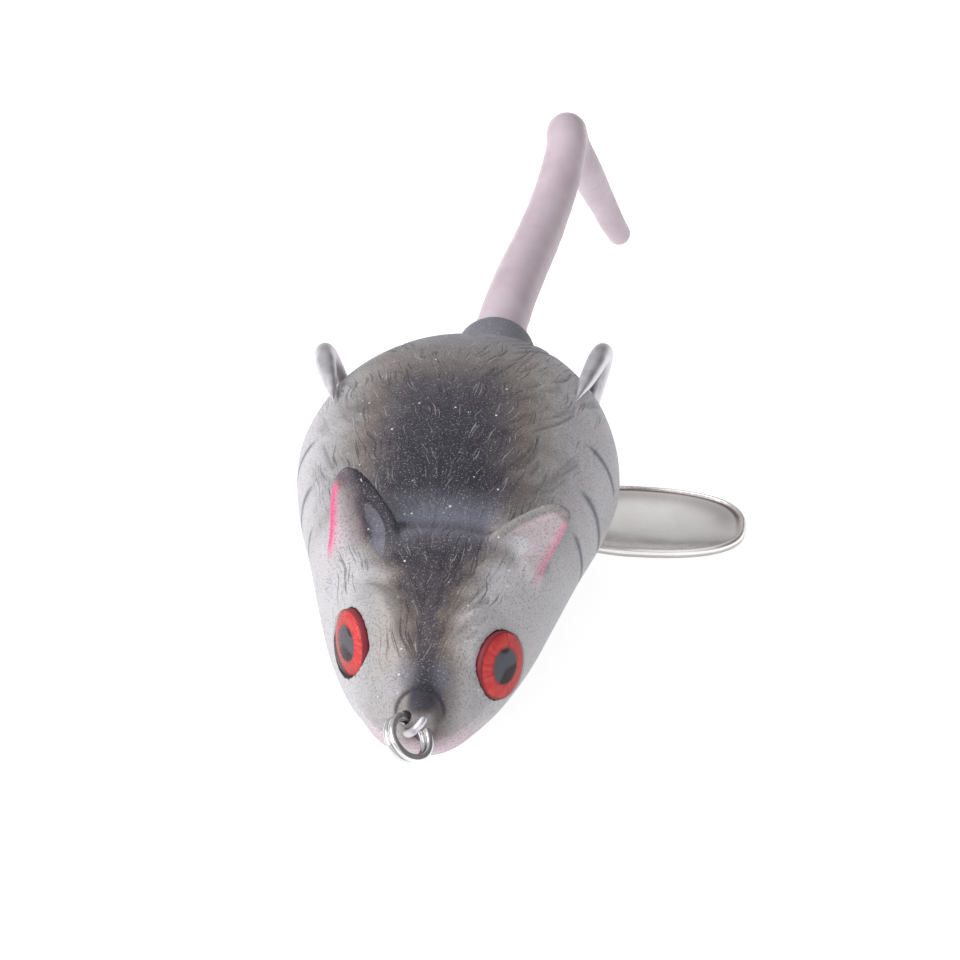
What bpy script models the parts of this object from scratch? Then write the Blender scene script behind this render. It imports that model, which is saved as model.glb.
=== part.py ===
"""Mouse-shaped hollow-body fishing lure with a double hook, a soft tail and a spinner blade on a swivel.

The nose points to -Y, +X is the mouse's left side, +Z is up, and the flat underside of the belly weight is
z = 0. The dimensions are in millimetres, and mesh_object() turns them into metres.
"""

import math

import bmesh
import bpy
from mathutils import Matrix, Vector

MM = 0.001
GAP = 0.3

# Skin, by station from nose to collar: y, centre x, half width, top z, bottom z.
SKIN = (
    (-31.0, 0.2, 1.2, 10.6, 6.6),
    (-30.4, 0.2, 2.2, 11.2, 5.9),
    (-28.8, 0.1, 3.3, 11.8, 4.7),
    (-26.0, 0.0, 5.2, 12.8, 3.4),
    (-22.5, 0.0, 7.4, 14.2, 2.7),
    (-18.0, 0.0, 9.2, 15.9, 2.6),
    (-12.5, 0.0, 10.8, 17.9, 2.9),
    (-6.0, 0.0, 12.5, 20.0, 2.9),
    (0.0, 0.0, 14.2, 21.5, 2.9),
    (6.0, 0.0, 15.1, 22.4, 3.0),
    (12.0, 0.0, 14.0, 22.4, 3.2),
    (18.0, 0.2, 11.1, 20.6, 4.2),
    (22.5, 0.7, 7.8, 17.9, 6.2),
    (25.5, 1.1, 5.0, 16.3, 8.3),
    (26.6, 1.25, 3.95, 16.3, 8.5),
    (30.3, 1.25, 3.95, 16.4, 8.6),
)
# Hollow inside the skin, in the same order.
HOLLOW = (
    (-27.0, 0.0, 1.9, 10.4, 7.2),
    (-20.0, 0.0, 3.0, 11.4, 6.4),
    (-15.0, 0.0, 6.6, 14.0, 5.6),
    (-9.0, 0.0, 9.8, 17.2, 4.8),
    (0.0, 0.0, 12.6, 19.8, 4.6),
    (6.0, 0.0, 13.5, 20.8, 4.7),
    (12.0, 0.0, 12.4, 20.8, 4.9),
    (18.0, 0.2, 9.5, 19.0, 5.8),
    (22.5, 0.7, 6.0, 16.2, 7.6),
    (25.0, 1.1, 3.4, 14.8, 9.6),
)
ROUNDNESS = 2.3
WIDEST_HEIGHT = 0.42
# Ears: name, base, width, height, the way each leans and the way each opens.
EARS = (
    ("ear_right", (-6.4, -12.6, 15.6), 7.0, 5.6, (-0.28, 0.1, 1.0), (-0.25, -1.0, 0.1)),
    ("ear_left", (7.4, -12.4, 14.9), 7.0, 5.6, (0.95, 0.2, 0.62), (0.35, -1.0, 0.2)),
)
# Round holes along Y: name, radius, first y, last y, centre x, centre z.
HOLES = (
    ("nose_hole", 1.9, -32.0, -26.0, 0.15, 8.5),
    ("tail_socket", 3.25, 27.4, 31.0, 1.25, 12.5),
    ("tail_channel", 2.3, 23.0, 28.0, 1.25, 12.5),
)

EYE_R = 3.0
LEFT_EYE = (6.6, -23.0, 9.8)
RIGHT_EYE = (-6.2, -22.2, 11.2)
EYE_FACING = (0.845, -0.51, 0.165)

TAIL_PIVOT = (1.3, 29.7, 12.5)
TAIL = (
    (1.3, 29.7, 12.5, 2.55),
    (1.55, 33.5, 13.5, 2.55),
    (2.1, 37.8, 14.4, 2.5),
    (2.83, 43.3, 14.93, 2.45),
    (3.84, 48.7, 15.76, 2.35),
    (4.72, 53.5, 16.96, 2.25),
    (5.54, 57.0, 18.81, 2.2),
    (6.07, 60.3, 20.8, 2.15),
    (5.9, 63.9, 21.3, 2.1),
    (6.2, 67.0, 18.2, 1.95),
    (7.39, 69.8, 14.0, 1.8),
    (8.14, 73.4, 10.0, 1.65),
    (8.85, 75.8, 7.0, 1.5),
    (9.54, 78.0, 4.0, 1.4),
    (10.2, 79.4, 1.9, 1.3),
)

HOOK_EYE = (0.15, -30.2, 8.5)
HOOK_EYE_R = 1.3
HOOK_EYE_WIRE = 0.5
HOOK_EYE_ROLL = 45.0
HOOK_WIRE = 0.95
HOOK_NECK_R = 0.55
# The tip of the hook on the +X side, and the bend that its straight point leads to.
HOOK_TIP = (11.2, 5.6, 20.0)
HOOK_POINT = 8.2
HOOK_BEND_R = 5.75
# Each side lies in one plane: how far it moves out for each millimetre back, and for each millimetre up.
HOOK_SPLAY = 0.207
HOOK_TILT = 0.30
HOOK_YAW = 0.03
# The point's taper: distance back from the tip, wire radius.
HOOK_TAPER = ((6.6, 0.9), (3.9, 0.7), (1.9, 0.38), (0.0, 0.1))
# The slot where the wire passes the skin on the +X side, as the low and high corners of a box.
HOOK_SLOT = ((7.9, 12.2, 7.0), (14.5, 20.2, 13.8))

NOSE_RING = (-0.32, -32.1, 8.15)
NOSE_RING_AXIS = (0.73, -0.26, 0.63)
NOSE_RING_R = 1.95

WEIGHT = (3.2, -11.0, 3.9, 2.6)
BELLY_EYE = (0.0, 5.7, 1.5)
BELLY_EYE_R = 0.95
BELLY_WIRE = 0.33

BLADE_HOLE = (5.8, 15.9, 1.35)
BLADE_HOLE_R = 1.05
BLADE_CENTRE = (15.2, 15.9)
BLADE_HALF = (11.4, 6.1)
BLADE_DEPTH = 1.6
BLADE_THICK = 0.5
BLADE_TAPER = 0.42

EYE_WIRE_R = 1.0
EYE_WIRE = 0.28
BARREL_R = 1.1
SMALL_RING_R = 1.5


def clear_scene():
    for obj in list(bpy.data.objects):
        bpy.data.objects.remove(obj, do_unlink=True)


def material(name, colour, metallic=0.0, rough=0.5):
    made = bpy.data.materials.new(name)
    made.use_nodes = True
    shader = made.node_tree.nodes["Principled BSDF"]
    shader.inputs["Base Color"].default_value = (*colour, 1.0)
    shader.inputs["Metallic"].default_value = metallic
    shader.inputs["Roughness"].default_value = rough
    return made


def mesh_object(name, points, faces, look=None, origin=(0.0, 0.0, 0.0), smooth=True):
    """A named object from points in millimetres, with its origin at a point that is also in millimetres."""
    origin = Vector(origin)
    mesh = bpy.data.meshes.new(name)
    mesh.from_pydata([(Vector(p) - origin) * MM for p in points], [], faces)
    work = bmesh.new()
    work.from_mesh(mesh)
    bmesh.ops.recalc_face_normals(work, faces=work.faces)
    if work.calc_volume(signed=True) < 0:
        bmesh.ops.reverse_faces(work, faces=work.faces)
    work.to_mesh(mesh)
    work.free()
    for face in mesh.polygons:
        face.use_smooth = smooth
    obj = bpy.data.objects.new(name, mesh)
    obj.location = origin * MM
    if look:
        mesh.materials.append(look)
    bpy.context.scene.collection.objects.link(obj)
    return obj


def blend_table(rows, place):
    """Smooth values of a table at a place along its rows, counted in rows."""
    low = min(int(place), len(rows) - 2)
    t = place - low
    before, a, b, after = (rows[max(0, min(len(rows) - 1, low + k))] for k in (-1, 0, 1, 2))
    out = []
    for p, q, r, s in zip(before, a, b, after):
        start = (r - p) / 2 if (r - q) * (r - p) > 0 else 0.0
        end = (s - q) / 2 if (r - q) * (s - q) > 0 else 0.0
        value = (2 * t**3 - 3 * t**2 + 1) * q + (t**3 - 2 * t**2 + t) * start
        out.append(value + (3 * t**2 - 2 * t**3) * r + (t**3 - t**2) * end)
    return out


def smooth_path(rows, per_row):
    """Catmull-Rom samples of a path whose rows are x, y, z and a radius."""
    out = []
    for low in range(len(rows) - 1):
        before, a, b, after = (rows[max(0, min(len(rows) - 1, low + k))] for k in (-1, 0, 1, 2))
        for step in range(per_row):
            t = step / per_row
            sample = []
            for p, q, r, s in zip(before, a, b, after):
                curve = (2 * p - 5 * q + 4 * r - s) * t**2 + (3 * q - p - 3 * r + s) * t**3
                sample.append(0.5 * (2 * q + (r - p) * t + curve))
            out.append(tuple(sample))
    out.append(tuple(rows[-1]))
    return out


def rings_to_faces(count, around):
    """Faces of a lofted body whose two ends are closed by fans to the points after the rings."""
    faces = []
    for ring in range(count - 1):
        low = ring * around
        for side in range(around):
            after = (side + 1) % around
            faces.append((low + side, low + after, low + around + after, low + around + side))
    first = count * around
    last = (count - 1) * around
    for side in range(around):
        after = (side + 1) % around
        faces.append((first, after, side))
        faces.append((first + 1, last + side, last + after))
    return faces


def squircle_ring(row, around):
    y, centre, half, top, bottom = row
    middle = bottom + (top - bottom) * WIDEST_HEIGHT
    points = []
    for side in range(around):
        angle = 2 * math.pi * side / around
        across = math.cos(angle)
        up = math.sin(angle)
        across = math.copysign(abs(across) ** (2 / ROUNDNESS), across)
        up = math.copysign(abs(up) ** (2 / ROUNDNESS), up)
        height = top - middle if up > 0 else middle - bottom
        points.append((centre + half * across, y, middle + height * up))
    return points


def loft(name, table, per_row, around, look=None):
    rows = [blend_table(table, k / per_row) for k in range((len(table) - 1) * per_row + 1)]
    points = [p for row in rows for p in squircle_ring(row, around)]
    for row in (rows[0], rows[-1]):
        points.append((row[1], row[0], row[4] + (row[3] - row[4]) * WIDEST_HEIGHT))
    return mesh_object(name, points, rings_to_faces(len(rows), around), look)


def tube(name, path, around, look=None, origin=(0.0, 0.0, 0.0)):
    """A closed round tube along x, y, z, radius samples."""
    centres = [Vector(p[:3]) for p in path]
    points = []
    normal = None
    for index, centre in enumerate(centres):
        ahead = centres[min(index + 1, len(centres) - 1)] - centres[max(index - 1, 0)]
        ahead.normalize()
        if normal is None:
            normal = ahead.cross(Vector((0.3, 0.1, 1.0))).normalized()
        normal = (normal - ahead * normal.dot(ahead)).normalized()
        other = ahead.cross(normal)
        radius = path[index][3]
        for side in range(around):
            angle = 2 * math.pi * side / around
            points.append(centre + radius * (normal * math.cos(angle) + other * math.sin(angle)))
    points += [centres[0], centres[-1]]
    return mesh_object(name, points, rings_to_faces(len(path), around), look, origin)


def frame_along(axis, up=(0.0, 0.0, 1.0)):
    """A rotation whose z axis is the given one."""
    ahead = Vector(axis).normalized()
    side = Vector(up).cross(ahead)
    if side.length < 1e-6:
        side = Vector((1.0, 0.0, 0.0))
    side.normalize()
    return Matrix((side, ahead.cross(side), ahead)).transposed()


def placed(points, centre, axis, up=(0.0, 0.0, 1.0)):
    turn = frame_along(axis, up)
    return [turn @ Vector(p) + Vector(centre) for p in points]


def lathe(name, outline, centre, axis, around, look=None, origin=None):
    """A turned body from (radius, height) points that start and end on the axis."""
    rings = outline[1:-1]
    points = []
    for radius, height in rings:
        for side in range(around):
            angle = 2 * math.pi * side / around
            points.append((radius * math.cos(angle), radius * math.sin(angle), height))
    points += [(0, 0, outline[0][1]), (0, 0, outline[-1][1])]
    faces = rings_to_faces(len(rings), around)
    return mesh_object(name, placed(points, centre, axis), faces, look, centre if origin is None else origin)


def lathe_loop(name, outline, centre, axis, around, look=None, origin=None):
    """A turned body from a closed outline that stays off the axis."""
    points = []
    for side in range(around):
        angle = 2 * math.pi * side / around
        for radius, height in outline:
            points.append((radius * math.cos(angle), radius * math.sin(angle), height))
    count = len(outline)
    faces = []
    for side in range(around):
        after = (side + 1) % around
        for k in range(count):
            j = (k + 1) % count
            faces.append((side * count + k, side * count + j, after * count + j, after * count + k))
    return mesh_object(name, placed(points, centre, axis), faces, look, centre if origin is None else origin)


def torus_outline(radius, wire, sides):
    turns = [2 * math.pi * k / sides for k in range(sides)]
    return [(radius + wire * math.cos(a), wire * math.sin(a)) for a in turns]


def boolean(obj, cutter, operation):
    cutter.hide_render = True
    cutter.display_type = "WIRE"
    made = obj.modifiers.new(cutter.name, "BOOLEAN")
    made.operation = operation
    made.solver = "EXACT"
    made.object = cutter


def ear(name, base, width, height, lean, facing):
    """A cupped ear with its base at a point, leaning along a direction and open towards another."""
    up = Vector(lean).normalized()
    out = Vector(facing)
    out = (out - up * out.dot(up)).normalized()
    side = out.cross(up)
    rows = 9
    across = 10
    front = []
    back = []
    for row in range(rows):
        share = row / (rows - 1)
        reach = height * (share * 1.32 - 0.32)
        half = width / 2 * math.sqrt(max(0.02, 1 - max(0.0, share * 1.15 - 0.2) ** 2.4))
        for col in range(across):
            span = 2 * col / (across - 1) - 1
            cup = 0.95 * (1 - span**2) * min(1.0, 2.2 * (1 - share))
            spot = Vector(base) + up * (reach + 0.25 * height * share * (1 - span**2)) + side * half * span
            front.append(spot + out * (0.45 - cup))
            back.append(spot - out * (0.45 + cup))
    points = front + back
    faces = []
    total = rows * across
    for row in range(rows - 1):
        for col in range(across - 1):
            k = row * across + col
            faces.append((k, k + 1, k + across + 1, k + across))
            faces.append((total + k, total + k + across, total + k + across + 1, total + k + 1))
    edge = list(range(across))
    edge += [row * across + across - 1 for row in range(1, rows)]
    edge += [(rows - 1) * across + col for col in range(across - 2, -1, -1)]
    edge += [row * across for row in range(rows - 2, 0, -1)]
    for k, spot in enumerate(edge):
        after = edge[(k + 1) % len(edge)]
        faces.append((spot, total + spot, total + after, after))
    return mesh_object(name, points, faces)


def make_skin(look):
    skin = loft("body_skin", SKIN, 2, 36, look)
    for shape in EARS:
        boolean(skin, ear(*shape), "UNION")
    boolean(skin, loft("hollow", HOLLOW, 2, 24), "DIFFERENCE")
    for name, radius, first, last, x, z in HOLES:
        outline = [(0.0, first), (radius, first), (radius, last), (0.0, last)]
        boolean(skin, lathe(name, outline, (x, 0.0, z), (0, 1, 0), 28), "DIFFERENCE")
    socket = EYE_R + GAP
    outline = [(0.0, -0.7), (socket, -0.7), (socket, 6.0), (0.0, 6.0)]
    for side, spot in ((1, LEFT_EYE), (-1, RIGHT_EYE)):
        boolean(skin, lathe(f"eye_socket_{side}", outline, spot, eye_axis(side), 28), "DIFFERENCE")
    low, high = HOOK_SLOT
    for side in (1, -1):
        slot = box(f"hook_slot_{side}", (low[0] * side, *low[1:]), (high[0] * side, *high[1:]))
        boolean(skin, slot, "DIFFERENCE")
    return skin


def hook_side(side):
    """One side of the hook from the neck behind its eye to the point: x, y, z, wire radius."""
    tip = Vector(HOOK_TIP)
    low = tip.z - 2 * HOOK_BEND_R
    rows = [(y, low, HOOK_WIRE) for y in (-12.0, 0.0, 8.0)]
    for angle in range(-90, 91, 30):
        turn = math.radians(angle)
        y = tip.y + HOOK_POINT + HOOK_BEND_R * math.cos(turn)
        rows.append((y, tip.z - HOOK_BEND_R + HOOK_BEND_R * math.sin(turn), HOOK_WIRE))
    rows += [(tip.y + back, tip.z, radius) for back, radius in HOOK_TAPER]
    out = [(side * 0.75, -26.0, 8.5, HOOK_NECK_R), (side * 1.55, -20.0, 8.4, 0.75)]
    for y, z, radius in rows:
        x = side * (tip.x + HOOK_SPLAY * (y - tip.y) + HOOK_TILT * (z - tip.z))
        out.append((x - HOOK_YAW * (y - tip.y), y + HOOK_YAW * x, z, radius))
    return out


def eye_axis(side):
    return (side * EYE_FACING[0], EYE_FACING[1], EYE_FACING[2])


def box(name, low, high, look=None, bevel=0.0):
    work = bmesh.new()
    bmesh.ops.create_cube(work, size=1.0)
    for vert in work.verts:
        vert.co = Vector((low[k] + high[k]) / 2 + vert.co[k] * abs(high[k] - low[k]) for k in range(3))
    if bevel:
        keep = [e for e in work.edges if max(v.co.z for v in e.verts) > min(low[2], high[2]) + 0.01]
        bmesh.ops.bevel(work, geom=keep, offset=bevel, segments=4, profile=0.5, affect="EDGES")
    points = [v.co.copy() for v in work.verts]
    faces = [[v.index for v in f.verts] for f in work.faces]
    work.free()
    return mesh_object(name, points, faces, look, smooth=False)


def make_eyes(foil_look, dome_look):
    foil = [(0, -0.4), (EYE_R, -0.4), (EYE_R, -0.1), (0, -0.1)]
    dome = [(0, 0.05), (EYE_R, 0.05), (EYE_R, 0.3)]
    for k in range(1, 6):
        angle = k * math.pi / 12
        dome.append((EYE_R * math.cos(angle), 0.3 + 1.1 * math.sin(angle)))
    dome.append((0, 1.4))
    for name, side, spot in (("left", 1, LEFT_EYE), ("right", -1, RIGHT_EYE)):
        lathe(f"{name}_eye_foil", foil, spot, eye_axis(side), 32, foil_look)
        lathe(f"{name}_eye_dome", dome, spot, eye_axis(side), 32, dome_look)


def make_tail(look):
    path = smooth_path(TAIL, 2)
    start = Vector(path[0][:3])
    ahead = (Vector(path[1][:3]) - start).normalized()
    radius = TAIL[0][3]
    ball = []
    for k in range(1, 7):
        angle = math.pi / 2 * k / 7
        ball.append((*(start - ahead * radius * math.cos(angle)), radius * math.sin(angle)))
    end = Vector(path[-1][:3])
    forward = (end - Vector(path[-2][:3])).normalized()
    last = TAIL[-1][3]
    tip = []
    for k in range(1, 5):
        angle = math.pi / 2 * k / 4.4
        tip.append((*(end + forward * last * math.sin(angle)), last * math.cos(angle)))
    tube("tail", ball + path + tip, 14, look, TAIL_PIVOT)
    plug = [(0, 25.0), (1.9, 25.0), (1.9, 25.9), (1.9, 26.7), (0, 26.7)]
    lathe("tail_plug", plug, (1.25, 0.0, 12.5), (0, 1, 0), 28, look)


def make_hook(look):
    """Both sides of one wire, which turns round the diagonal eye at the nose."""
    centre = Vector(HOOK_EYE)
    roll = math.radians(HOOK_EYE_ROLL)
    across = Vector((math.cos(roll), 0.0, math.sin(roll)))
    back = Vector((0.0, 1.0, 0.0))
    mouth = math.radians(34)
    steps = 20
    loop = []
    for k in range(steps + 1):
        angle = mouth + (2 * math.pi - 2 * mouth) * k / steps
        spot = centre + HOOK_EYE_R * (back * math.cos(angle) + across * math.sin(angle))
        loop.append((*spot, HOOK_EYE_WIRE))
    twist = []
    for share, y in ((0.85, -28.2), (0.5, -27.2)):
        turned = roll * share
        twist.append((0.68 * math.cos(turned), y, 0.68 * math.sin(turned), 0.5))
    right_side = [(x, y, HOOK_EYE[2] + z, r) for x, y, z, r in twist] + hook_side(1)
    left_side = [(-x, y, HOOK_EYE[2] - z, r) for x, y, z, r in twist] + hook_side(-1)
    right = smooth_path([loop[0]] + right_side, 3)[1:]
    left = smooth_path([loop[-1]] + left_side, 3)[1:]
    path = right[::-1] + loop + left
    tube("double_hook", path, 8, look, HOOK_EYE)


def make_coil_ring(name, centre, axis, radius, half_radial, half_axial, look, origin):
    """A split ring: two turns of flattened wire."""
    pitch = 2 * half_axial + 0.06
    steps = 48
    section = []
    for k in range(8):
        angle = math.pi / 8 + math.pi / 4 * k
        section.append((1.08 * half_radial * math.cos(angle), 1.08 * half_axial * math.sin(angle)))
    points = []
    for k in range(steps + 1):
        turn = 2 * k / steps * 0.985
        angle = 2 * math.pi * turn
        height = pitch * (turn - 1)
        for out, up in section:
            points.append(((radius + out) * math.cos(angle), (radius + out) * math.sin(angle), height + up))
    angle = 4 * math.pi * 0.985
    points.append((radius, 0.0, -pitch))
    points.append((radius * math.cos(angle), radius * math.sin(angle), pitch * 0.97))
    faces = rings_to_faces(steps + 1, 8)
    return mesh_object(name, placed(points, centre, axis), faces, look, origin)


def wire_eye(name, centre, plane_axis, along, loop_r, wire, shank, look, origin):
    """A wire loop with a straight shank, given as (radius, distance from the loop's centre) points."""
    made = lathe_loop(name, torus_outline(loop_r, wire, 8), centre, plane_axis, 24, look, origin)
    outline = [(0.0, shank[0][1])] + list(shank) + [(0.0, shank[-1][1])]
    boolean(made, lathe(name + "_shank", outline, centre, along, 16), "UNION")
    return made


def make_weight(look, wire_look):
    half, front, rear, top = WEIGHT
    weight = box("belly_weight", (-half, front, 0.0), (half, rear, top), look, bevel=0.9)
    hole = [(0.0, 0.0), (0.5, 0.0), (0.5, 4.0), (0.0, 4.0)]
    boolean(weight, lathe("weight_hole", hole, (0.0, 0.4, BELLY_EYE[2]), (0, 1, 0), 20), "DIFFERENCE")
    shank = [(BELLY_WIRE, 0.75), (BELLY_WIRE, 4.9)]
    flat = (0, 0, 1)
    wire_eye("belly_eye", BELLY_EYE, flat, (0, -1, 0), BELLY_EYE_R, BELLY_WIRE, shank, wire_look, BELLY_EYE)


def make_chain(wire_look, barrel_look, ring_look, blade_look):
    """Swivel, split ring and blade, laid out along the line from the belly eye to the blade's hole."""
    start = Vector(BELLY_EYE)
    hole = Vector(BLADE_HOLE)
    flat = Vector((hole.x - start.x, hole.y - start.y, 0.0))
    reach = flat.length
    along = flat.normalized()
    across = Vector((along.y, -along.x, 0.0))
    tilt = (across + Vector((0, 0, 1))).normalized()
    counter = (across - Vector((0, 0, 1))).normalized()
    front = start + along * 1.12
    link = start + along * BELLY_EYE_R
    ring_centre = start + along * (reach - SMALL_RING_R) + Vector((0, 0, -0.02))
    rear = ring_centre - along * (SMALL_RING_R + EYE_WIRE_R - 0.92)
    middle = (front + rear) / 2
    half = (rear - front).length / 2
    barrel_half = half - EYE_WIRE_R - 0.75
    knob = half - barrel_half
    shank = [(0.27, 0.75), (0.27, knob + 0.75), (0.62, knob + 0.85), (0.62, knob + 1.25), (0.3, knob + 1.4)]
    wire_eye("swivel_front_eye", front, across, along, EYE_WIRE_R, EYE_WIRE, shank, wire_look, link)
    wire_eye("swivel_rear_eye", rear, tilt, -along, EYE_WIRE_R, EYE_WIRE, shank, wire_look, rear)
    inner = 0.78
    barrel = [(0.38, -barrel_half), (0.75, -barrel_half), (BARREL_R, -barrel_half + 0.7)]
    barrel += [(BARREL_R, barrel_half - 0.7), (0.75, barrel_half), (0.38, barrel_half)]
    barrel += [(0.38, barrel_half - 0.55), (inner, barrel_half - 0.7), (inner, -barrel_half + 0.7)]
    barrel.append((0.38, -barrel_half + 0.55))
    lathe_loop("swivel_barrel", barrel, middle, along, 28, barrel_look)
    make_coil_ring("blade_split_ring", ring_centre, counter, SMALL_RING_R, 0.26, 0.16, ring_look, rear)
    make_blade(blade_look)


def make_blade(look):
    """An oval dish, hollow side up, with a hole near its inner end."""
    rings = 6
    around = 40
    points = []
    for side in (0, 1):
        for ring in range(rings, 0, -1) if side else range(1, rings + 1):
            share = ring / rings
            for k in range(around):
                angle = 2 * math.pi * k / around
                x = BLADE_CENTRE[0] + BLADE_HALF[0] * share * math.cos(angle)
                narrow = 1 - BLADE_TAPER * max(0.0, -math.cos(angle)) * share
                y = BLADE_CENTRE[1] + BLADE_HALF[1] * share * math.sin(angle) * narrow
                points.append((x, y, BLADE_DEPTH * share**2 + BLADE_THICK * side))
    points.append((*BLADE_CENTRE, 0.0))
    points.append((*BLADE_CENTRE, BLADE_THICK))
    faces = rings_to_faces(2 * rings, around)
    blade = mesh_object("spinner_blade", points, faces, look, BLADE_HOLE)
    outline = [(0.0, -2.0), (BLADE_HOLE_R, -2.0), (BLADE_HOLE_R, 2.0), (0.0, 2.0)]
    boolean(blade, lathe("blade_hole", outline, BLADE_HOLE, (0, 0, 1), 24), "DIFFERENCE")


def main():
    clear_scene()
    steel = material("bright_steel", (0.75, 0.75, 0.77), 1.0, 0.15)
    make_skin(material("painted_skin", (0.42, 0.41, 0.43), 0.0, 0.35))
    foil = material("eye_foil", (0.75, 0.08, 0.1), 0.6, 0.3)
    make_eyes(foil, material("eye_dome", (0.9, 0.4, 0.4), 0.0, 0.05))
    make_tail(material("tail_skin", (0.72, 0.62, 0.64), 0.0, 0.45))
    make_hook(steel)
    ring = material("ring_steel", (0.8, 0.8, 0.82), 1.0, 0.12)
    make_coil_ring("nose_split_ring", NOSE_RING, NOSE_RING_AXIS, NOSE_RING_R, 0.36, 0.24, ring, HOOK_EYE)
    make_weight(material("lead", (0.3, 0.3, 0.32), 0.8, 0.5), steel)
    plated = material("swivel_brass", (0.2, 0.2, 0.2), 0.9, 0.3)
    make_chain(steel, plated, ring, material("blade_nickel", (0.85, 0.85, 0.86), 1.0, 0.1))


main()
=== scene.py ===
"""Looks of the mouse lure: painted skin with fur lines, eyes, hook, rings, swivel, blade and tail.

SKIN, EARS, TAIL, STRIPES and the paint table along the back follow, in part, numbers worked out beforehand, outside
this script. SKIN, EARS, TAIL, STRIPES and AIRBRUSH_AND_PAINTED_LIGHT follow numbers that other scripts worked out;
report.md says how far.
"""

import math
import random

import bmesh
import bpy
import numpy as np
from mathutils import Matrix, Vector


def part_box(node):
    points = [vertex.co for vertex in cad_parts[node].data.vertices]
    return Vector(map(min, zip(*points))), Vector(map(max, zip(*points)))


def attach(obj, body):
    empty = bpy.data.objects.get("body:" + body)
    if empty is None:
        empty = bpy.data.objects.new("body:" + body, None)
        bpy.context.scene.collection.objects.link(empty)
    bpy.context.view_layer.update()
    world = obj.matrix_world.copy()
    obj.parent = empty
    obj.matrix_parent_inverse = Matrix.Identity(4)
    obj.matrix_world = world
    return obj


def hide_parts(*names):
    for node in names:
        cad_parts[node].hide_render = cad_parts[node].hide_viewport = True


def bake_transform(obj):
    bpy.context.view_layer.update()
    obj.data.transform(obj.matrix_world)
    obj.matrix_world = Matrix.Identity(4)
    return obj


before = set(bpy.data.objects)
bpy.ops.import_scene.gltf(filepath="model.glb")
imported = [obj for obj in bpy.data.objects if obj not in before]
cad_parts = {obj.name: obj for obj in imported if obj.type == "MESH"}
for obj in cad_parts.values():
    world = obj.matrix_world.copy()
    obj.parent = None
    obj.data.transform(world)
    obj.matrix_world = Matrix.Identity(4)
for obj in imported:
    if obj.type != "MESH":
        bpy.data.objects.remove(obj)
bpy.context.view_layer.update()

MM = 0.001
ROUNDNESS = 2.3
WIDEST_HEIGHT = 0.42
VOXEL = 0.24

# Skin, by station from nose to collar, in mm: y, centre x, half width, top z, bottom z.
SKIN = (
    (-30.5, 0.3, 1.4, 8.6, 5.9),
    (-29.9, 0.3, 2.6, 9.6, 5.0),
    (-28.5, 0.1, 3.9, 10.8, 4.0),
    (-26.0, 0.0, 5.4, 12.5, 3.1),
    (-22.5, 0.0, 7.4, 14.2, 2.7),
    (-18.0, 0.0, 9.2, 15.9, 2.7),
    (-12.5, 0.0, 10.8, 17.9, 2.9),
    (-6.0, 0.0, 12.5, 20.0, 2.9),
    (0.0, 0.0, 14.2, 21.5, 2.9),
    (6.0, 0.0, 15.1, 22.4, 3.0),
    (12.0, 0.0, 14.0, 22.4, 3.2),
    (18.0, 0.2, 11.1, 20.6, 4.2),
    (22.5, 0.7, 7.8, 17.9, 6.2),
    (25.5, 1.1, 4.9, 16.3, 8.3),
    (26.8, 1.25, 3.9, 16.3, 8.5),
)
COLLAR = ((26.0, 3.6), (27.0, 3.85), (27.5, 3.98), (29.3, 3.98), (29.9, 3.9), (30.25, 3.6))
HOLLOW = (
    (-27.0, 0.0, 1.9, 10.4, 7.2),
    (-20.0, 0.0, 3.0, 11.4, 6.4),
    (-15.0, 0.0, 6.6, 14.0, 5.6),
    (-9.0, 0.0, 9.8, 17.2, 4.8),
    (0.0, 0.0, 12.6, 19.8, 4.6),
    (6.0, 0.0, 13.5, 20.8, 4.7),
    (12.0, 0.0, 12.4, 20.8, 4.9),
    (18.0, 0.2, 9.5, 19.0, 5.8),
    (22.5, 0.7, 6.0, 16.2, 7.6),
    (25.0, 1.1, 3.4, 14.8, 9.6),
)
BULB = (0.42, -29.35, 8.9)
BULB_R = 1.75
HOOK_EYE = (0.15, -30.2, 8.5)
NOSE_RING = (-0.32, -32.1, 8.15)
NOSE_RING_AXIS = (0.73, -0.26, 0.63)
NOSE_RING_R = 1.95
EYE_FACING = (0.845, -0.51, 0.165)
EYES = ((1, "left_eye_foil"), (-1, "right_eye_foil"))
COLLAR_MIDDLE = (1.25, 0, 12.5)
# The ridge and the trough across the head between the ears: y.
RIDGE = -14.4
TROUGH = -11.3


# ---------------------------------------------------------------- meshes


def link(name, mesh, look):
    obj = bpy.data.objects.new(name, mesh)
    bpy.context.scene.collection.objects.link(obj)
    if look:
        mesh.materials.append(look)
    return obj


def shade_smooth(mesh):
    mesh.polygons.foreach_set("use_smooth", [True] * len(mesh.polygons))


def mesh_object(name, points, faces, look=None):
    """An object from points in millimetres, with its faces turned outward."""
    mesh = bpy.data.meshes.new(name)
    mesh.from_pydata([Vector(p) * MM for p in points], [], faces)
    work = bmesh.new()
    work.from_mesh(mesh)
    bmesh.ops.recalc_face_normals(work, faces=work.faces)
    if work.calc_volume(signed=True) < 0:
        bmesh.ops.reverse_faces(work, faces=work.faces)
    work.to_mesh(mesh)
    work.free()
    shade_smooth(mesh)
    return link(name, mesh, look)


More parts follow.
